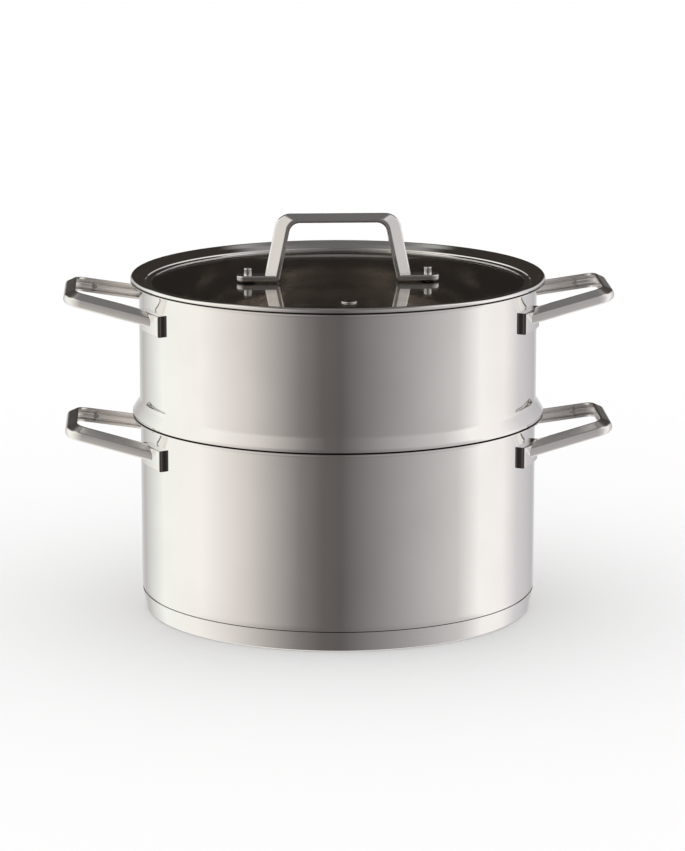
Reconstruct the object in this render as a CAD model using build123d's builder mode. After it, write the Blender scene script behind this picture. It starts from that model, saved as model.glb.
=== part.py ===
from build123d import *
import os
from math import cos, radians, sin, tan

# A stovetop steamer: a pot, a steamer tier that seats in the mouth of the pot, and a glass lid.
# The origin is the middle of the base, on the surface that the pot stands on. +Z is up.
# The side handles point along X. All lengths are in millimetres and all angles in degrees.

# Sheet and fits shared by all the pieces
sheet = 0.8             # wall of the drawn shells
weld_gap = 0.05         # between curved faces that are welded together
slip_gap = 0.05         # round a shank that passes through a steel piece
seal_gap = 0.5          # round a shank that passes through glass or a gasket
overrun = 4.0           # how far a cut runs past what it cuts

# Rolled rim that the pot and the tier share
rim_flare = 3.2         # outer radius of the bend from the wall to the rim
rim_width = 5.3         # from the outside of the wall of the pot to the edge of its rim
rim_roll = 0.2          # radius under the rolled edge
rim_drop = 1.1          # height of the rolled edge

# Pot
pot_radius = 131.0      # outside of the wall
pot_height = 131.0      # top of the rim
pot_corner = 10.0       # outer radius between the floor and the wall

# Encapsulated base
cap_thickness = 0.5
cap_seam_height = 13.3  # of the upper edge of the cap
cap_foot_inset = 2.4    # from the outside of the wall in to the foot of the cap
cap_edge_radius = 2.0
core_height = 7.0       # aluminium disc
core_inset = 3.5        # from the inside of the cap in to the edge of the disc
core_edge_radius = 2.0

# Steamer tier
tier_outset = 0.3       # how far its wall stands out past the wall of the pot
tier_step_height = 90.0 # from the rim of the pot to the rim of the tier
tier_rim_width = 5.7    # from the outside of its wall to the edge of its rim
shoulder_slope = 58.0   # of the shoulder, from level
shoulder_fold = 1.8     # outer radius of the fold that rests on the rim of the pot
shoulder_blend = 5.0    # radius between the shoulder and the wall
neck_gap = 0.9          # between the neck and the inside of the pot
neck_depth = 23.0
neck_bend = 1.6         # radius between the neck and the ledge
neck_corner = 8.0       # outer radius between the neck and the floor
steam_hole_radius = 2.5
steam_ring_spacing = 20.0
steam_rings = 5
steam_holes_per_ring = 6

# Side handles, an open channel bent into a loop that is welded to two brackets
grip_height = 9.6       # of the channel
grip_depth = 6.8        # of the channel, across the loop
grip_sheet = 1.3
grip_top = 1.4          # flat along the upper edge, and the radius beside it
grip_side = 5.6         # height of the outer side, under the upper slope
grip_round = 3.2        # radius of the edges of the outer side
grip_outreach = 49.2    # from the wall of the pot to the outside of the loop
grip_root_half = 44.0   # half the inner width of the loop at the wall
grip_end_half = 29.6    # half the inner width of the loop at its outer bar
grip_corner = 9.0       # inner radius of the outer corners
grip_tilt = 12.0        # the loop rises outwards
pot_grip_drop = 15.4    # from the rim to the middle of the loop at the wall
tier_grip_drop = 16.7
grip_root_depth = 12.0  # how far the arms are laid out behind the wall before they are trimmed
grip_boss_radius = 1.6
grip_boss_height = 0.6
grip_boss_back = 13.0   # from the outer bar to the boss, along the arm
grip_boss_drop = 1.2    # under the middle of the channel

# Brackets under the arms of the side handles
bracket_height = 14.0
bracket_depth = 3.7
bracket_drop = 4.2      # from the middle of the loop at the wall to the middle of the bracket
bracket_start = 15.0    # direction of its inner end, from X
bracket_sweep = 13.2    # angle that it covers
bracket_round = 1.2

# Lid glass and ring
glass_thickness = 4.0
glass_inset = 9.6       # from the outside of the ring in to the edge of the glass
glass_drop = 2.5        # from the rim of the tier down to the top of the glass
glass_edge_gap = 0.1
ring_lip_thickness = 0.6  # of the lip that lies on the glass
ring_lip_inset = 14.0   # this and the next four, from the outside of the ring inwards
ring_foot_inset = 10.2
ring_wall_inset = 8.7
ring_dip_inset = 6.2
ring_crest_inset = 3.1
ring_wall_height = 0.5  # this and the next three, over the rim of the tier
ring_dip_height = 1.1
ring_crest_height = 3.4
ring_bead_height = 3.1
ring_foot_round = 0.4
ring_wall_round = 0.6
ring_dip_round = 8.0
ring_crest_round = 1.6
ring_bead_round = 2.7
ring_edge_round = 0.4
collar_gap = 0.6        # between the collar and the inside of the tier
collar_depth = 8.4
collar_lead = 1.3       # bevel between the collar and the flange
under_lip_inset = 11.5  # from the outside of the ring in to the lip under the glass

# Lid handle
foot_end = 66.8         # from the middle of the handle to the end of its foot
foot_thickness = 3.9
foot_round = 5.0
bow_height = 44.4       # from the underside of the feet to the top of the bar
bow_width = 12.0
bow_bar = 5.5
bow_top_half = 39.8     # from the middle to the outer line of a leg, at the top
bow_lean = 11.7         # of the legs
bow_leg = 10.0          # thickness of a leg, level
bow_outer_corner = 10.5
bow_slant_corner = 8.0  # radius of the slants where the leg turns into the bar
bow_inner_corner = 7.0
bow_foot_inner = 3.0
bow_foot_outer = 2.0
bow_edge = 1.0
bow_crown_half = 1.2    # half the width left between the slants, on the outer line
bow_crown_round = 1.8
bow_leg_bevel = 7.4     # how far the front and back of a leg slant in from its outer line
bow_bar_bevel = 3.0     # how far the front and back of the bar slant down from its top

# Bolts of the lid handle and what they clamp
bolt_place = 59.5       # from the middle of the handle
bolt_cap_radius = 2.5
bolt_cap_height = 4.8
bolt_cap_round = 1.0
bolt_radius = 2.0
gasket_radius = 4.4
gasket_thickness = 0.8
washer_radius = 5.6
washer_thickness = 1.0
nut_radius = 4.0
nut_height = 5.0
nut_round = 1.5
nut_floor = 1.2

# Vent in the glass
vent_place = 80.5       # from the middle of the lid
vent_angle = -87.5      # from the line of the handle
vent_flange_radius = 5.0
vent_flange = 0.9
vent_tube_radius = 3.0
vent_hole_radius = 2.0
vent_foot_radius = 4.4
vent_foot = 0.7
vent_round = 0.4

# Places that follow from the sizes
floor_underside = cap_thickness + core_height
pot_rim_radius = pot_radius + rim_width
tier_radius = pot_radius + tier_outset
tier_rim_radius = tier_radius + tier_rim_width
tier_height = pot_height + tier_step_height
cap_foot_radius = pot_radius - cap_foot_inset
grip_reach = pot_radius + grip_outreach
glass_radius = tier_rim_radius - glass_inset
neck_radius = pot_radius - sheet - neck_gap
tier_floor = pot_height - neck_depth
glass_top = tier_height - glass_drop
glass_underside = glass_top - glass_thickness
foot_underside = glass_top + gasket_thickness
foot_top = foot_underside + foot_thickness
under_gasket = glass_underside - gasket_thickness
under_washer = under_gasket - washer_thickness
under_nut = under_washer - nut_height

os.makedirs("parts", exist_ok=True)


# Label a finished piece and write it
def write(piece, name):
    piece.part.label = name
    export_step(piece.part, "parts/" + name + ".step")


# Corners of the outer face of the sheet, from the top of a wall round the rolled rim
def rim_corners(wall_radius, rim_radius, height):
    edge = rim_radius - sheet
    return [(wall_radius, height - sheet), (edge, height - sheet), (edge, height - rim_drop)]


# Drawn shell: the outer face of the sheet as corners and radii, thickened inwards and spun
def drawn_shell(corners, radii):
    with BuildPart() as shell:
        with BuildSketch(Plane.XZ):
            with BuildLine():
                FilletPolyline(*corners, radius=radii)
                offset(amount=sheet, side=Side.LEFT)
            make_face()
        revolve(axis=Axis.Z)
    return shell


# Pot shell
pot_shell = drawn_shell(
    [(0, floor_underside), (pot_radius, floor_underside)]
    + rim_corners(pot_radius, pot_rim_radius, pot_height),
    [pot_corner, rim_flare, rim_roll],
)
write(pot_shell, "pot_shell")


# Aluminium disc of the base, between the floor of the pot and the cap
with BuildPart() as pot_base_core:
    with BuildSketch(Plane.XY.offset(cap_thickness)):
        Circle(cap_foot_radius - cap_thickness - core_inset)
    extrude(amount=core_height)
    fillet(pot_base_core.edges().filter_by(GeomType.CIRCLE), core_edge_radius)
write(pot_base_core, "pot_base_core")


# Cap of the base, a dish whose edge closes on the rounded corner of the pot
seam_fall = floor_underside + pot_corner - cap_seam_height
corner_reach = (pot_corner**2 - seam_fall**2) ** 0.5
cap_rim_radius = pot_radius - pot_corner + corner_reach + weld_gap + cap_thickness
with BuildPart() as pot_base_cap:
    with BuildSketch(Plane.XZ):
        with BuildLine():
            FilletPolyline(
                (0, 0),
                (cap_foot_radius, 0),
                (cap_rim_radius, cap_seam_height),
                radius=cap_edge_radius,
            )
            offset(amount=cap_thickness, side=Side.LEFT)
        make_face()
    revolve(axis=Axis.Z)
write(pot_base_cap, "pot_base_cap")


# Shell of the steamer tier: perforated floor, neck, ledge, shoulder, wall and rim
fold_corner = pot_rim_radius - shoulder_fold + shoulder_fold / tan(radians(shoulder_slope / 2))
shoulder_top = pot_height + (fold_corner - tier_radius) * tan(radians(shoulder_slope))
tier_blank = drawn_shell(
    [
        (0, tier_floor),
        (neck_radius, tier_floor),
        (neck_radius, pot_height),
        (fold_corner, pot_height),
        (tier_radius, shoulder_top),
    ]
    + rim_corners(tier_radius, tier_rim_radius, tier_height),
    [neck_corner, neck_bend, shoulder_fold, shoulder_blend, rim_flare, rim_roll],
)
with BuildPart() as steamer_shell:
    add(tier_blank.part)
    with BuildSketch(Plane.XY.offset(tier_floor)):
        Circle(steam_hole_radius)
        for ring in range(1, steam_rings + 1):
            with PolarLocations(steam_ring_spacing * ring, steam_holes_per_ring * ring):
                Circle(steam_hole_radius)
    extrude(amount=overrun, both=True, mode=Mode.SUBTRACT)
write(steamer_shell, "steamer_shell")


# Side handle: the channel is swept round the loop, then trimmed where it meets its brackets
def side_handle(side, root_height, wall_radius):
    tilt = radians(grip_tilt)
    loop_plane = Plane(
        origin=(side * wall_radius, 0, root_height),
        x_dir=(side * cos(tilt), 0, sin(tilt)),
        z_dir=(-side * sin(tilt), 0, cos(tilt)),
    )
    inner_reach = (grip_reach - wall_radius) / cos(tilt) - grip_depth
    arm_slant = (grip_root_half - grip_end_half) / inner_reach
    root_half = grip_root_half + arm_slant * grip_root_depth
    top = grip_height / 2
    with BuildPart() as handle:
        with BuildLine(loop_plane) as loop:
            FilletPolyline(
                (-grip_root_depth, -root_half),
                (inner_reach, -grip_end_half),
                (inner_reach, grip_end_half),
                (-grip_root_depth, root_half),
                radius=grip_corner,
            )
        along = loop.line % 0
        section_plane = Plane(
            origin=loop.line @ 0,
            x_dir=along.cross(loop_plane.z_dir),
            z_dir=along * -1,
        )
        with BuildSketch(section_plane):
            with BuildLine():
                FilletPolyline(
                    (0, -top),
                    (grip_depth, -top),
                    (grip_depth, -top + grip_side),
                    (grip_top, top),
                    (0, top),
                    radius=[grip_round, grip_round, grip_top],
                )
                offset(amount=grip_sheet, side=Side.LEFT)
            make_face()
        sweep(path=loop.line)
        # Round bosses inside the arms, near the outer corners
        for half in (-1, 1):
            arm_half = grip_end_half + arm_slant * grip_boss_back + grip_depth - grip_sheet / 2
            boss_place = (inner_reach - grip_boss_back, half * arm_half, -grip_boss_drop)
            boss_plane = Plane(
                origin=loop_plane.from_local_coords(boss_place),
                x_dir=loop_plane.x_dir,
                z_dir=loop_plane.y_dir * -half,
            )
            with BuildSketch(boss_plane):
                Circle(grip_boss_radius)
            extrude(amount=grip_sheet / 2 + grip_boss_height)
        with Locations((0, 0, root_height)):
            Cylinder(wall_radius + bracket_depth + 2 * weld_gap, 2 * grip_reach, mode=Mode.SUBTRACT)
    return handle


# Bracket: a curved pad welded to the wall, which carries one arm of a side handle
def bracket(start, root_height, wall_radius):
    start_angle = radians(start)
    with BuildPart() as pad:
        side_plane = Plane(
            origin=(0, 0, root_height - bracket_drop),
            x_dir=(cos(start_angle), sin(start_angle), 0),
            z_dir=(sin(start_angle), -cos(start_angle), 0),
        )
        with BuildSketch(side_plane):
            with Locations((wall_radius + weld_gap + bracket_depth / 2, 0)):
                Rectangle(bracket_depth, bracket_height)
        revolve(axis=Axis.Z, revolution_arc=bracket_sweep)
        outer_face = pad.faces().filter_by(GeomType.CYLINDER).sort_by(SortBy.AREA)[-1]
        fillet(outer_face.edges(), bracket_round)
    return pad


# The pot and the tier carry the same handles and brackets
bracket_ends = {
    ("left", "front"): 180 + bracket_start,
    ("left", "rear"): 180 - bracket_start - bracket_sweep,
    ("right", "front"): -bracket_start - bracket_sweep,
    ("right", "rear"): bracket_start,
}
vessels = (
    ("pot", pot_height - pot_grip_drop, pot_radius),
    ("steamer", tier_height - tier_grip_drop, tier_radius),
)
for vessel, root_height, wall_radius in vessels:
    for side_name, side in (("left", -1), ("right", 1)):
        write(side_handle(side, root_height, wall_radius), vessel + "_handle_" + side_name)
    for (side_name, end_name), start in bracket_ends.items():
        pad = bracket(start, root_height, wall_radius)
        write(pad, vessel + "_bracket_" + side_name + "_" + end_name)


# Level plane on the lid
def lid_plane(height, place=0.0, angle=0.0):
    direction = radians(angle)
    return Plane((place * cos(direction), place * sin(direction), height))


# Glass of the lid, with holes for the two bolts and the vent
vent_origin = lid_plane(glass_top, vent_place, vent_angle)
with BuildPart() as lid_glass:
    with BuildSketch(Plane.XY.offset(glass_underside)):
        Circle(glass_radius)
    extrude(amount=glass_thickness)
    for side in (-1, 1):
        with BuildSketch(lid_plane(glass_top, side * bolt_place)):
            Circle(bolt_radius + seal_gap)
        extrude(amount=-glass_thickness - overrun, mode=Mode.SUBTRACT)
    with BuildSketch(vent_origin):
        Circle(vent_tube_radius + seal_gap)
    extrude(amount=-glass_thickness - overrun, mode=Mode.SUBTRACT)
write(lid_glass, "lid_glass")


# Ring of the lid: it grips the edge of the glass, rests on the rim of the tier with its flange
# and centres the lid with a collar. Its top dips inwards from a crest near its outer bead
groove_radius = glass_radius + glass_edge_gap
collar_radius = tier_radius - sheet - collar_gap
lip_radius = tier_rim_radius - ring_lip_inset
under_lip_radius = tier_rim_radius - under_lip_inset
with BuildPart() as lid_ring:
    with BuildSketch(Plane.XZ):
        with BuildLine():
            Polyline(
                (groove_radius, glass_top),
                (lip_radius, glass_top),
                (lip_radius, glass_top + ring_lip_thickness),
            )
            FilletPolyline(
                (lip_radius, glass_top + ring_lip_thickness),
                (tier_rim_radius - ring_foot_inset, glass_top + ring_lip_thickness),
                (tier_rim_radius - ring_wall_inset, tier_height + ring_wall_height),
                (tier_rim_radius - ring_dip_inset, tier_height + ring_dip_height),
                (tier_rim_radius - ring_crest_inset, tier_height + ring_crest_height),
                (tier_rim_radius, tier_height + ring_bead_height),
                (tier_rim_radius, tier_height),
                (collar_radius + collar_lead, tier_height),
                radius=[
                    ring_foot_round,
                    ring_wall_round,
                    ring_dip_round,
                    ring_crest_round,
                    ring_bead_round,
                    ring_edge_round,
                ],
            )
            Polyline(
                (collar_radius + collar_lead, tier_height),
                (collar_radius, tier_height - collar_lead),
                (collar_radius, tier_height - collar_depth),
                (collar_radius - sheet, tier_height - collar_depth),
                (collar_radius - sheet, glass_underside - sheet),
                (under_lip_radius, glass_underside - sheet),
                (under_lip_radius, glass_underside),
                (groove_radius, glass_underside),
                (groove_radius, glass_top),
            )
        make_face()
    revolve(axis=Axis.Z)
write(lid_ring, "lid_ring")


# Level line of the bow that its leg follows, at a height over its feet
def leg_line(height):
    return bow_top_half + (bow_height - height) * tan(radians(bow_lean))


# Slants of the bow: its front and back narrow towards the outside of the legs and the top of the bar
def bow_plane(place):
    return Plane((0, -place, foot_underside), x_dir=(1, 0, 0), z_dir=(0, -1, 0))


slant_lines = (
    (bow_width / 2, bow_leg_bevel, bow_bar_bevel, bow_slant_corner),
    (bow_crown_half, 0, 0, bow_outer_corner),
    (-bow_crown_half, 0, 0, bow_outer_corner),
    (-bow_width / 2, bow_leg_bevel, bow_bar_bevel, bow_slant_corner),
)
with BuildPart() as bow_slants:
    for place, leg_bevel, bar_bevel, corner in slant_lines:
        with BuildSketch(bow_plane(place)):
            with BuildLine():
                FilletPolyline(
                    (0, 0),
                    (foot_end, 0),
                    (foot_end, foot_thickness),
                    (leg_line(foot_thickness) - leg_bevel, foot_thickness),
                    (leg_line(bow_height - bar_bevel) - leg_bevel, bow_height - bar_bevel),
                    (0, bow_height - bar_bevel),
                    radius=[0, 0, 0, corner],
                )
                mirror(about=Plane.YZ)
            make_face()
    loft(ruled=True)


# Bow of the lid: one bent bar with a foot at each end, drawn as half an outline and mirrored
inner_top_half = leg_line(bow_height - bow_bar) - bow_leg
inner_foot_half = leg_line(0) - bow_leg
with BuildPart() as lid_handle:
    with BuildSketch(bow_plane(0)):
        with BuildLine():
            FilletPolyline(
                (0, bow_height),
                (bow_top_half, bow_height),
                (leg_line(foot_thickness), foot_thickness),
                (foot_end, foot_thickness),
                (foot_end, 0),
                (inner_foot_half, 0),
                (inner_top_half, bow_height - bow_bar),
                (0, bow_height - bow_bar),
                radius=[
                    bow_outer_corner,
                    bow_foot_outer,
                    0,
                    0,
                    bow_foot_inner,
                    bow_inner_corner,
                ],
            )
            mirror(about=Plane.YZ)
        make_face()
    extrude(amount=bow_width / 2, both=True)
    foot_corners = lid_handle.edges().filter_by(Axis.Z).sort_by(lambda edge: abs(edge.center().X))[-4:]
    fillet(foot_corners, foot_round)
    add(bow_slants.part, mode=Mode.INTERSECT)
    crown_edges = lid_handle.edges().filter_by(
        lambda edge: abs(abs(edge.center().Y) - bow_crown_half) < weld_gap
        and edge.center().Z > foot_top + bow_foot_outer
    )
    fillet(crown_edges, bow_crown_round)
    front_and_back = lid_handle.faces().filter_by(Axis.Y).sort_by(SortBy.AREA)[-2:]
    fillet(front_and_back.edges(), bow_edge)
    for side in (-1, 1):
        with BuildSketch(lid_plane(foot_top, side * bolt_place)):
            Circle(bolt_radius + slip_gap)
        extrude(amount=foot_thickness + overrun, both=True, mode=Mode.SUBTRACT)
write(lid_handle, "lid_handle")


# Round piece of the stack on a bolt, with a hole through it
def stacked_disc(side, underside, radius, thickness, hole_radius):
    with BuildPart() as disc:
        with BuildSketch(lid_plane(underside, side * bolt_place)):
            Circle(radius)
            Circle(hole_radius, mode=Mode.SUBTRACT)
        extrude(amount=thickness)
    return disc


# Bolt: a plain cap that stands on the foot of the bow, and a shank down through the lid
def lid_bolt(side):
    with BuildPart() as bolt:
        with BuildSketch(lid_plane(foot_top, side * bolt_place)):
            Circle(bolt_cap_radius)
        extrude(amount=bolt_cap_height)
        fillet(bolt.edges().sort_by(Axis.Z)[-1], bolt_cap_round)
        with BuildSketch(lid_plane(foot_top, side * bolt_place)):
            Circle(bolt_radius)
        extrude(amount=under_nut + nut_floor - foot_top)
    return bolt


# Cap nut under the lid
def lid_nut(side):
    with BuildPart() as nut:
        with BuildSketch(lid_plane(under_nut, side * bolt_place)):
            Circle(nut_radius)
        extrude(amount=nut_height)
        fillet(nut.edges().sort_by(Axis.Z)[0], nut_round)
        with BuildSketch(lid_plane(under_washer, side * bolt_place)):
            Circle(bolt_radius + slip_gap)
        extrude(amount=nut_floor - nut_height, mode=Mode.SUBTRACT)
    return nut


seal_radius = bolt_radius + seal_gap
shank_radius = bolt_radius + slip_gap
for side_name, side in (("left", -1), ("right", 1)):
    write(lid_bolt(side), "lid_bolt_" + side_name)
    upper_gasket = stacked_disc(side, glass_top, gasket_radius, gasket_thickness, seal_radius)
    write(upper_gasket, "lid_upper_gasket_" + side_name)
    lower_gasket = stacked_disc(side, under_gasket, gasket_radius, gasket_thickness, seal_radius)
    write(lower_gasket, "lid_lower_gasket_" + side_name)
    washer = stacked_disc(side, under_washer, washer_radius, washer_thickness, shank_radius)
    write(washer, "lid_washer_" + side_name)
    write(lid_nut(side), "lid_nut_" + side_name)


# Eyelet of the steam vent, flanged over both faces of the glass
with BuildPart() as vent_eyelet:
    with BuildSketch(vent_origin):
        Circle(vent_flange_radius)
    extrude(amount=vent_flange)
    fillet(vent_eyelet.edges().sort_by(Axis.Z)[-1], vent_round)
    with BuildSketch(vent_origin):
        Circle(vent_tube_radius)
    extrude(amount=-glass_thickness)
    with BuildSketch(vent_origin.offset(-glass_thickness)):
        Circle(vent_foot_radius)
    extrude(amount=-vent_foot)
    with BuildSketch(vent_origin.offset(vent_flange + overrun)):
        Circle(vent_hole_radius)
    extrude(amount=-glass_thickness - vent_flange - vent_foot - 2 * overrun, mode=Mode.SUBTRACT)
write(vent_eyelet, "vent_eyelet")
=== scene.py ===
import bpy
from cmath import exp, phase
from math import pi, radians, tan
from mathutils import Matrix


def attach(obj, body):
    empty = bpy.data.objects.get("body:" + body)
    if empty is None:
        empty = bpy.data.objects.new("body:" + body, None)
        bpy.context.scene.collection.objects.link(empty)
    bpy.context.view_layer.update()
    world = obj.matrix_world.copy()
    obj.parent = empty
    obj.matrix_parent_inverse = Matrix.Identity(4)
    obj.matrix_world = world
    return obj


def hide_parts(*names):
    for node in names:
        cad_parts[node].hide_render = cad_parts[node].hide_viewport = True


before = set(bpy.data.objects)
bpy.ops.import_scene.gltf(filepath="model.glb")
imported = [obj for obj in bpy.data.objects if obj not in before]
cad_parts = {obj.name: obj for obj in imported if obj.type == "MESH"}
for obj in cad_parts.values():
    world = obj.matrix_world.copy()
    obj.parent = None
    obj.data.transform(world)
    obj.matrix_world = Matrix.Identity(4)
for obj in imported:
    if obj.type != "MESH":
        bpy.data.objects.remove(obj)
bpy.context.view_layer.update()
print("frame loaded")

mm = 0.001
smoothAngle = radians(32)   # edges sharper than this stay crisp when shaded
spinSteps = 240             # flats round each spun piece
weldDistance = 0.005 * mm   # points closer than this become one
white = (1.0, 1.0, 1.0, 1.0)


# a socket in an expression: operators add Math nodes
class Wire:
    def __init__(self, tree, socket):
        self.tree = tree
        self.socket = socket

    def math(self, operation, left, right=0.0):
        made = self.tree.nodes.new("ShaderNodeMath")
        made.operation = operation
        for side, value in enumerate((left, right)):
            if isinstance(value, Wire):
                self.tree.links.new(value.socket, made.inputs[side])
            else:
                made.inputs[side].default_value = value
        return Wire(self.tree, made.outputs[0])

    def __add__(self, other):
        return self.math("ADD", self, other)

    def __radd__(self, other):
        return self.math("ADD", other, self)

    def __sub__(self, other):
        return self.math("SUBTRACT", self, other)

    def __rsub__(self, other):
        return self.math("SUBTRACT", other, self)

    def __mul__(self, other):
        return self.math("MULTIPLY", self, other)

    def __rmul__(self, other):
        return self.math("MULTIPLY", other, self)

    def __truediv__(self, other):
        return self.math("DIVIDE", self, other)

    def __rtruediv__(self, other):
        return self.math("DIVIDE", other, self)

    def __neg__(self):
        return self.math("MULTIPLY", self, -1.0)

    def __abs__(self):
        return self.math("ABSOLUTE", self)


class Shading:
    def __init__(self, owner):
        owner.use_nodes = True
        self.tree = owner.node_tree
        self.tree.nodes.clear()

    # kind of node, output wanted, settings, then values or wires for its sockets
    def node(self, kind, output=None, settings={}, sockets={}):
        made = self.tree.nodes.new(kind)
        for name, value in settings.items():
            if name == "stops":
                elements = made.color_ramp.elements
                while len(elements) < len(value):
                    elements.new(1.0)
                for element, (place, colour) in zip(elements, value):
                    element.position = place
                    element.color = colour
            else:
                setattr(made, name, value)
        for name, value in sockets.items():
            if isinstance(value, Wire):
                self.tree.links.new(value.socket, made.inputs[name])
            else:
                made.inputs[name].default_value = value
        if output is not None:
            return Wire(self.tree, made.outputs[output])

    def part(self, wire, output):  # another output of the same node
        return Wire(self.tree, wire.socket.node.outputs[output])


# screen colour, 0 to 255, as linear light
def tone(red, green, blue):
    levels = [level / 255 for level in (red, green, blue)]
    linear = [level / 12.92 if level < 0.04045 else ((level + 0.055) / 1.055) ** 2.4 for level in levels]
    return (*linear, 1.0)


# 0 below start, 1 above end, smooth between
def rise(shading, wire, start, end):
    return shading.node(
        "ShaderNodeMapRange", "Result", {"interpolation_type": "SMOOTHSTEP"},
        {"Value": wire, "From Min": start, "From Max": end},
    )


# 1 near the middle and 0 past half the width, in mm, where core is the share of it that is all 1
def band(shading, wire, middle, half, core):
    return 1 - rise(shading, abs(wire - middle * mm), half * core * mm, half * mm)


def noise(shading, place, scale, detail):
    return shading.node(
        "ShaderNodeTexNoise", "Fac", {}, {"Vector": place, "Scale": scale, "Detail": detail},
    )


# the colour above covers the colour below as far as the mask says
def coverColour(shading, mask, below, above):
    return shading.node("ShaderNodeMix", 2, {"data_type": "RGBA"}, {0: mask, 6: below, 7: above})


def vectorMath(shading, output, operation, left, right=(0.0, 0.0, 0.0)):
    return shading.node("ShaderNodeVectorMath", output, {"operation": operation}, {0: left, 1: right})


# level line from the axis to a place, and its length
def fromAxis(shading, place):
    outward = vectorMath(shading, "Vector", "MULTIPLY", place, (1.0, 1.0, 0.0))
    return outward, vectorMath(shading, "Value", "LENGTH", outward)


# steel of the shells, the ring, the handles and the bolts, with lengths in mm
steelLook = {
    "clouds": [(0.35, tone(240, 238, 236)), (0.65, tone(246, 244, 242))],  # dull and bright places
    "roughness": 0.035,
    "smudge": 0.03,             # how much rougher a smudged place is
    "smudgeScale": 16.0,
    "smudgeDetail": 3.0,
    "lineBump": 0.0,            # strength of the polishing lines
    "lineDepth": 0.5,
    "lineScale": 900.0,
    "lineStretch": 40.0,        # how many times longer than high they are
    "lineDetail": 2.0,
    "shadedCreases": [],                # painted shade in crevices: height, how far in they reach and half their width
    "creaseShadeFade": 0.4,            # over which length they start
    "creaseShadeCore": 0.5,            # share of their width that is fully dark
    "shadedEnds": False,          # painted shade on the ends of the brackets
    "endTurn": (0.45, 0.75),    # how squarely a face looks along the wall, from no end to an end
    "endStrip": (133.1, 0.55),  # strip along their middle with less painted shade: radius and half its width
    "stripCore": 0.4,
    "stripPale": 0.6,
    "paintedShadeTone": tone(70, 66, 64),  # colour of the painted shade in the crevices and on the bracket ends
}


# painted shade: 1 in the crevices under the rims and in the seam along the base
def creaseShadeMask(shading, place, look):
    outward, radius = fromAxis(shading, place)
    height = shading.node("ShaderNodeSeparateXYZ", "Z", {}, {"Vector": place})
    mask = 0.0
    for level, inside, half in look["shadedCreases"]:
        outside = rise(shading, radius, (inside - look["creaseShadeFade"]) * mm, inside * mm)
        mask = mask + band(shading, height, level, half, look["creaseShadeCore"]) * outside
    return mask


# painted shade: 1 on the punched ends of the brackets, which face along the wall, and less on their strip
def endShadeMask(shading, place, look):
    facing = shading.node("ShaderNodeNewGeometry", "Normal")
    outward, radius = fromAxis(shading, place)
    outward = vectorMath(shading, "Vector", "NORMALIZE", outward)
    along = vectorMath(shading, "Vector", "CROSS_PRODUCT", outward, (0.0, 0.0, 1.0))
    agreement = vectorMath(shading, "Value", "DOT_PRODUCT", along, facing)
    strip = look["stripPale"] * band(shading, radius, *look["endStrip"], look["stripCore"])
    return rise(shading, abs(agreement), *look["endTurn"]) * (1 - strip)


def makeSteel(name, look):
    material = bpy.data.materials.new(name)
    shading = Shading(material)
    place = shading.node("ShaderNodeTexCoord", "Object")
    clouds = noise(shading, place, look["smudgeScale"], look["smudgeDetail"])
    stretched = shading.node(
        "ShaderNodeMapping", "Vector", {}, {"Vector": place, "Scale": (1.0, 1.0, look["lineStretch"])},
    )
    lines = noise(shading, stretched, look["lineScale"] / look["lineStretch"], look["lineDetail"])
    colour = shading.node("ShaderNodeValToRGB", "Color", {"stops": look["clouds"]}, {"Fac": clouds})
    # painted shade darkens the colour in the crevices
    if look["shadedCreases"]:
        colour = coverColour(shading, creaseShadeMask(shading, place, look), colour, look["paintedShadeTone"])
    # painted shade darkens the faces at the ends of the brackets
    if look["shadedEnds"]:
        colour = coverColour(shading, endShadeMask(shading, place, look), colour, look["paintedShadeTone"])
    bump = shading.node(
        "ShaderNodeBump", "Normal", {},
        {"Height": lines, "Strength": look["lineBump"], "Distance": look["lineDepth"] * mm},
    )
    surface = shading.node("ShaderNodeBsdfPrincipled", "BSDF", {}, {
        "Base Color": colour,
        "Metallic": 1.0,
        "Roughness": look["roughness"] + look["smudge"] * clouds,
        "Normal": bump,
    })
    shading.node("ShaderNodeOutputMaterial", sockets={"Surface": surface})
    return material


polishedSteel = makeSteel("polishedSteel", steelLook)
# the shells get painted shade in the crevices under the rims and in the seam along the base
shellSteel = makeSteel("shellSteel", {
    **steelLook,
    "shadedCreases": [(131.0, 134.4, 0.6), (221.0, 134.4, 0.8), (13.4, 127.0, 0.45)],
})
satinSteel = makeSteel("satinSteel", {**steelLook, "roughness": 0.08, "smudge": 0.04, "lineBump": 0.1})
gripSteel = makeSteel("gripSteel", {**steelLook, "roughness": 0.2, "smudge": 0.05})
bowSteel = makeSteel("bowSteel", {**steelLook, "roughness": 0.07, "smudge": 0.04})
# the brackets get painted shade on their ends, in a paler tone than the crevices
bracketSteel = makeSteel("bracketSteel", {**steelLook, "shadedEnds": True, "paintedShadeTone": tone(130, 126, 123)})
print("steel made")


# a material of one tint, whose gloss is uneven
def makeTinted(name, look):
    material = bpy.data.materials.new(name)
    shading = Shading(material)
    place = shading.node("ShaderNodeTexCoord", "Object")
    grain = noise(shading, place, look["grainScale"], look["grainDetail"])
    surface = shading.node("ShaderNodeBsdfPrincipled", "BSDF", {}, {
        "Base Color": look["tint"],
        "Roughness": look["roughness"] + look["uneven"] * grain,
        **look["sockets"],
    })
    shading.node("ShaderNodeOutputMaterial", sockets={"Surface": surface})
    return material


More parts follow.
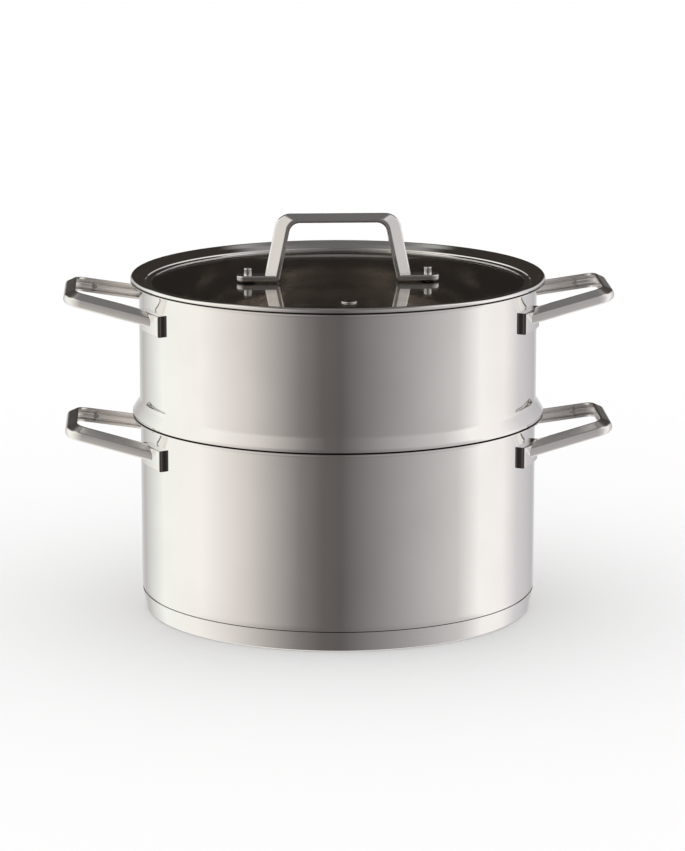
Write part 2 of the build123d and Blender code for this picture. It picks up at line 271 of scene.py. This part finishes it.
lidGlass = makeTinted("lidGlass", {
    "tint": tone(214, 208, 200),
    "roughness": 0.0, "uneven": 0.03, "grainScale": 14.0, "grainDetail": 3.0,
    "sockets": {"IOR": 1.5, "Transmission Weight": 1.0},
})
darkSilicone = makeTinted("darkSilicone", {
    "tint": tone(38, 36, 34),
    "roughness": 0.45, "uneven": 0.2, "grainScale": 900.0, "grainDetail": 2.0,
    "sockets": {},
})
castAluminium = makeTinted("castAluminium", {
    "tint": tone(200, 202, 205),
    "roughness": 0.35, "uneven": 0.2, "grainScale": 400.0, "grainDetail": 2.0,
    "sockets": {"Metallic": 1.0},
})

for name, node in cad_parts.items():
    finish = polishedSteel
    if name == "lid_glass":
        finish = lidGlass
    if "gasket" in name:
        finish = darkSilicone
    if name == "pot_base_core":
        finish = castAluminium
    if "handle" in name:
        finish = bowSteel if name == "lid_handle" else gripSteel
    if "bracket" in name:
        finish = bracketSteel
    for slot in node.material_slots:
        slot.material = finish
print("materials given to the parts of the frame")


# points of a line through corners of (radius, height, rounding), in mm, with a point beside each rounding
def roundedLine(corners, turnStep=9.0, besideStep=0.35):
    roomNeeded = 2.5 * besideStep  # a shorter straight gets no point beside its rounding
    places = [complex(corner[0], corner[1]) for corner in corners]
    line = [places[0]]
    for before, place, after, corner in zip(places, places[1:], places[2:], corners[1:]):
        if not corner[2]:
            line.append(place)
            continue
        arriving = (place - before) / abs(place - before)
        leaving = (after - place) / abs(after - place)
        turn = phase(leaving / arriving)
        reach = corner[2] * tan(abs(turn) / 2)
        first = place - reach * arriving
        last = place + reach * leaving
        middle = first + corner[2] * arriving * (1j if turn > 0 else -1j)
        steps = max(3, round(abs(turn) / radians(turnStep)))
        if abs(first - line[-1]) > roomNeeded:
            line.append(first - besideStep * arriving)
        line += [middle + (first - middle) * exp(1j * turn * step / steps) for step in range(steps + 1)]
        if abs(after - last) > roomNeeded:
            line.append(last + besideStep * leaving)
    return line + [places[-1]]


# one vertex, pulled out into a line along the points of a section
def drawSection(name, line):
    bpy.ops.object.select_all(action="DESELECT")
    bpy.ops.mesh.primitive_plane_add(size=mm)
    piece = bpy.context.active_object
    piece.name = name
    bpy.ops.object.mode_set(mode="EDIT")
    bpy.ops.mesh.select_all(action="SELECT")
    bpy.ops.mesh.merge(type="CENTER")
    bpy.ops.transform.translate(value=(line[0].real * mm, 0, line[0].imag * mm))
    for here, there in zip(line, line[1:]):
        step = (there - here) * mm
        bpy.ops.mesh.extrude_region_move(TRANSFORM_OT_translate={"value": (step.real, 0, step.imag)})
    return piece


# the section spun once round Z, closed at the axis and turned outwards
def spinPiece(name, line):
    piece = drawSection(name, line)
    bpy.ops.mesh.select_all(action="SELECT")
    bpy.ops.mesh.spin(steps=spinSteps, angle=2 * pi, center=(0, 0, 0), axis=(0, 0, 1))
    bpy.ops.mesh.select_all(action="SELECT")
    bpy.ops.mesh.remove_doubles(threshold=weldDistance)
    bpy.ops.mesh.normals_make_consistent(inside=False)
    bpy.ops.object.mode_set(mode="OBJECT")
    return piece


# side is 1 in front of the faces and -1 behind them
def addThickness(piece, thickness, side):
    modifier = piece.modifiers.new("wall", "SOLIDIFY")
    modifier.thickness = thickness * mm
    modifier.offset = side
    modifier.use_even_offset = True
    bpy.ops.object.modifier_apply(modifier=modifier.name)


def finishPiece(piece, material, slotName, body, *nodes):
    bpy.ops.object.select_all(action="DESELECT")
    piece.select_set(True)
    bpy.context.view_layer.objects.active = piece
    bpy.ops.object.shade_smooth_by_angle(angle=smoothAngle)
    piece.data.materials.clear()
    piece.data.materials.append(material)
    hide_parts(*nodes)
    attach(piece, body)


# drawn shells of the pot and the tier, which share their sheet and the roll of their rims
shellLook = {"sheet": 0.8, "rimFlare": 3.2, "rimDrop": 1.1, "rimRoll": 0.2}
potLook = {"radius": 131.0, "height": 131.0, "floor": 7.5, "corner": 10.0, "rimRadius": 136.3}
tierLook = {
    "radius": 131.3, "height": 221.0, "rimRadius": 137.0,
    "neckRadius": 129.3, "floor": 108.0, "neckCorner": 8.0, "neckBend": 1.6,
    "foldRound": 1.8, "shoulderSlope": 58.0, "shoulderBlend": 5.0,
    "holeRadius": 2.5, "holeSpacing": 20.0, "holeRings": 5, "holesPerRing": 6,
    "holeSides": 20, "punchLength": 8.0,
}


def rimCorners(look):
    under = look["height"] - shellLook["sheet"]
    edge = look["rimRadius"] - shellLook["sheet"]
    return [
        (look["radius"], under, shellLook["rimFlare"]),
        (edge, under, shellLook["rimRoll"]),
        (edge, look["height"] - shellLook["rimDrop"], 0),
    ]


potShell = spinPiece("potShell", roundedLine([
    (0, potLook["floor"], 0),
    (potLook["radius"], potLook["floor"], potLook["corner"]),
    *rimCorners(potLook),
]))
addThickness(potShell, shellLook["sheet"], 1.0)
finishPiece(potShell, shellSteel, "polished_steel", "pot", "pot_shell")
print("pot shell made")

slope = radians(tierLook["shoulderSlope"])
foldCorner = potLook["rimRadius"] - tierLook["foldRound"] + tierLook["foldRound"] / tan(slope / 2)
shoulderTop = potLook["height"] + (foldCorner - tierLook["radius"]) * tan(slope)
tierShell = spinPiece("tierShell", roundedLine([
    (0, tierLook["floor"], 0),
    (tierLook["neckRadius"], tierLook["floor"], tierLook["neckCorner"]),
    (tierLook["neckRadius"], potLook["height"], tierLook["neckBend"]),
    (foldCorner, potLook["height"], tierLook["foldRound"]),
    (tierLook["radius"], shoulderTop, tierLook["shoulderBlend"]),
    *rimCorners(tierLook),
]))
addThickness(tierShell, shellLook["sheet"], 1.0)
holePlaces = [0j]
for ring in range(1, tierLook["holeRings"] + 1):
    count = tierLook["holesPerRing"] * ring
    reach = tierLook["holeSpacing"] * ring
    holePlaces += [reach * exp(2j * pi * number / count) for number in range(count)]


def addPunch(place):
    bpy.ops.mesh.primitive_cylinder_add(
        vertices=tierLook["holeSides"],
        radius=tierLook["holeRadius"] * mm,
        depth=tierLook["punchLength"] * mm,
        location=(place.real * mm, place.imag * mm, tierLook["floor"] * mm),
    )


# all the punches are one object, taken out of the floor in one cut
bpy.ops.object.select_all(action="DESELECT")
addPunch(holePlaces[0])
punches = bpy.context.active_object
bpy.ops.object.mode_set(mode="EDIT")
for place in holePlaces[1:]:
    addPunch(place)
bpy.ops.object.mode_set(mode="OBJECT")
bpy.ops.object.select_all(action="DESELECT")
tierShell.select_set(True)
bpy.context.view_layer.objects.active = tierShell
holes = tierShell.modifiers.new("holes", "BOOLEAN")
holes.operation = "DIFFERENCE"
holes.solver = "EXACT"
holes.object = punches
bpy.ops.object.modifier_apply(modifier=holes.name)
bpy.data.objects.remove(punches)
finishPiece(tierShell, shellSteel, "polished_steel", "steamer", "steamer_shell")
print("tier shell made with", len(holePlaces), "holes")

# cap pressed over the disc of the base, up to a seam on the rounding of the pot
baseLook = {"sheet": 0.5, "footRadius": 128.6, "footRound": 2.0, "seam": 13.3, "gap": 0.05}
seamFall = potLook["floor"] + potLook["corner"] - baseLook["seam"]
seamRadius = potLook["radius"] - potLook["corner"] + (potLook["corner"] ** 2 - seamFall ** 2) ** 0.5
baseCap = spinPiece("baseCap", roundedLine([
    (0, 0, 0),
    (baseLook["footRadius"], 0, baseLook["footRound"]),
    (seamRadius + baseLook["gap"] + baseLook["sheet"], baseLook["seam"], 0),
]))
addThickness(baseCap, baseLook["sheet"], -1.0)
finishPiece(baseCap, satinSteel, "satin_steel", "pot", "pot_base_cap")
print("base cap made")

# ring of the lid, from its lip on the glass over the top and round under the flange
ringLook = {
    "radius": 137.0, "rim": 221.0, "sheet": 0.8,
    "glassTop": 218.5, "glassUnder": 214.5, "grooveRadius": 127.5,
    "lip": 0.6, "lipInset": 14.0,  # insets go in from the radius
    "wallFootInset": 10.2, "wallTopInset": 9.7, "wallHeight": 0.9,
    "innerRounds": (0.2, 0.4, 0.5),  # edge of the lip, foot of the wall and top of the wall
    "crown": [(6.2, 1.1, 8.0), (3.1, 3.4, 1.6), (0.0, 3.1, 2.7), (0.0, 0.0, 0.4)],  # inset, rise, rounding
    "collarRadius": 129.9, "collarDepth": 8.4, "collarChamfer": 1.3,
    "claspInset": 11.5,
}
ringRadius = ringLook["radius"]
ringRim = ringLook["rim"]
lipTop = ringLook["glassTop"] + ringLook["lip"]
lipRound, footRound, topRound = ringLook["innerRounds"]
collarUnder = ringRim - ringLook["collarDepth"]
collarInside = ringLook["collarRadius"] - ringLook["sheet"]
claspUnder = ringLook["glassUnder"] - ringLook["sheet"]
lidRing = spinPiece("lidRing", roundedLine([
    (ringLook["grooveRadius"], ringLook["glassTop"], 0),
    (ringRadius - ringLook["lipInset"], ringLook["glassTop"], 0),
    (ringRadius - ringLook["lipInset"], lipTop, lipRound),
    (ringRadius - ringLook["wallFootInset"], lipTop, footRound),
    (ringRadius - ringLook["wallTopInset"], lipTop + ringLook["wallHeight"], topRound),
    *[(ringRadius - inset, ringRim + height, rounding) for inset, height, rounding in ringLook["crown"]],
    (ringLook["collarRadius"] + ringLook["collarChamfer"], ringRim, 0),
    (ringLook["collarRadius"], ringRim - ringLook["collarChamfer"], 0),
    (ringLook["collarRadius"], collarUnder, 0),
    (collarInside, collarUnder, 0),
    (collarInside, claspUnder, 0),
    (ringRadius - ringLook["claspInset"], claspUnder, 0),
    (ringRadius - ringLook["claspInset"], ringLook["glassUnder"], 0),
    (ringLook["grooveRadius"], ringLook["glassUnder"], 0),
    (ringLook["grooveRadius"], ringLook["glassTop"], 0),
], turnStep=7.0, besideStep=0.15))
finishPiece(lidRing, shellSteel, "polished_steel", "lid", "lid_ring")
print("lid ring made")

floorLook = {"size": 30.0, "tint": white}
bpy.ops.object.select_all(action="DESELECT")
bpy.ops.mesh.primitive_plane_add(size=floorLook["size"])
floor = bpy.context.active_object
floor.name = "studioFloor"
floor.visible_glossy = False
floorMaterial = bpy.data.materials.new("paleFloor")
shading = Shading(floorMaterial)
matt = shading.node("ShaderNodeBsdfDiffuse", "BSDF", {}, {"Color": floorLook["tint"]})
shading.node("ShaderNodeOutputMaterial", sockets={"Surface": matt})
floor.data.materials.append(floorMaterial)

# room that the steel and the glass mirror: heights go from -1 straight down to 1 straight up
room = {
    "turn": -2.6,               # the middle of the dark side, in degrees from the front
    "aroundStops": [            # share of the way round, from behind over the left, the front and the right
        (0.0, tone(235, 235, 235)),
        (0.07, tone(190, 188, 186)),
        (0.16, tone(252, 255, 250)),
        (0.26, tone(255, 252, 246)),
        (0.353, tone(215, 210, 205)),
        (0.44, tone(132, 128, 127)),
        (0.475, tone(103, 98, 96)),
        (0.505, tone(96, 93, 92)),
        (0.57, tone(142, 140, 140)),
        (0.655, tone(188, 185, 185)),
        (0.703, tone(208, 206, 205)),
        (0.75, tone(254, 252, 250)),
        (0.81, tone(252, 248, 246)),
        (0.86, tone(214, 213, 215)),
        (0.94, tone(190, 188, 190)),
        (1.0, tone(235, 235, 235)),
    ],
    "lean": 0.4,                # how much the middle tones widen towards the floor
    "leanDepths": (0.22, 0.95),
    "ceiling": tone(106, 105, 104),
    "ceilingHeights": (0.82, 0.95),
    "card": tone(54, 49, 45),   # dark card behind the object
    "cardEdge": (0.435, 0.465),  # as a share of the way round from the front
    "cardWidening": [(0.06, 0.08, 0.32), (0.1, 0.42, 0.6)],  # by how much, and between which heights
    "cardFoot": (-0.05, 0.03),
    "cardTop": (0.8, 0.93),
    "strength": 1.0,
}
world = bpy.data.worlds.new("softRoom")
bpy.context.scene.world = world
shading = Shading(world)
direction = shading.node("ShaderNodeTexCoord", "Generated")
sideways = shading.node("ShaderNodeSeparateXYZ", "X", {}, {"Vector": direction})
depthways = shading.part(sideways, "Y")
upward = shading.part(sideways, "Z")
around = sideways.math("ARCTAN2", sideways, -depthways)
aside = around / (2 * pi) - radians(room["turn"]) / (2 * pi)
share = 0.5 + aside * (1 - room["lean"] * rise(shading, -upward, *room["leanDepths"]))
walls = shading.node("ShaderNodeValToRGB", "Color", {"stops": room["aroundStops"]}, {"Fac": share})
overhead = rise(shading, upward, *room["ceilingHeights"])
roofed = coverColour(shading, overhead, walls, room["ceiling"])
widened = abs(aside)
for amount, start, end in room["cardWidening"]:
    widened = widened + amount * rise(shading, upward, start, end)
behind = rise(shading, widened, *room["cardEdge"])
lifted = rise(shading, upward, *room["cardFoot"]) * (1 - rise(shading, upward, *room["cardTop"]))
roomColour = coverColour(shading, behind * lifted, roofed, room["card"])
rays = shading.node("ShaderNodeLightPath", "Is Glossy Ray")
mirrored = rays.math("MAXIMUM", rays, shading.part(rays, "Is Transmission Ray"))
seen = coverColour(shading, mirrored, white, roomColour)  # the camera and the floor get plain white
background = shading.node(
    "ShaderNodeBackground", "Background", {}, {"Color": seen, "Strength": room["strength"]},
)
shading.node("ShaderNodeOutputWorld", sockets={"Surface": background})
bpy.context.scene.view_settings.view_transform = "Standard"

view = {
    "lens": 161.7,
    "sensor": 36.0,
    "place": (-113.0, -2487.7, 645.8),
    "pitch": 11.9,
    "turn": -2.6,
    "shift": 0.0055,
}
bpy.ops.object.camera_add(
    location=[value * mm for value in view["place"]],
    rotation=(radians(90 - view["pitch"]), 0, radians(view["turn"])),
)
camera = bpy.context.active_object
camera.data.lens = view["lens"]
camera.data.sensor_width = view["sensor"]
camera.data.shift_x = view["shift"]
bpy.context.scene.camera = camera
print("room and camera set")
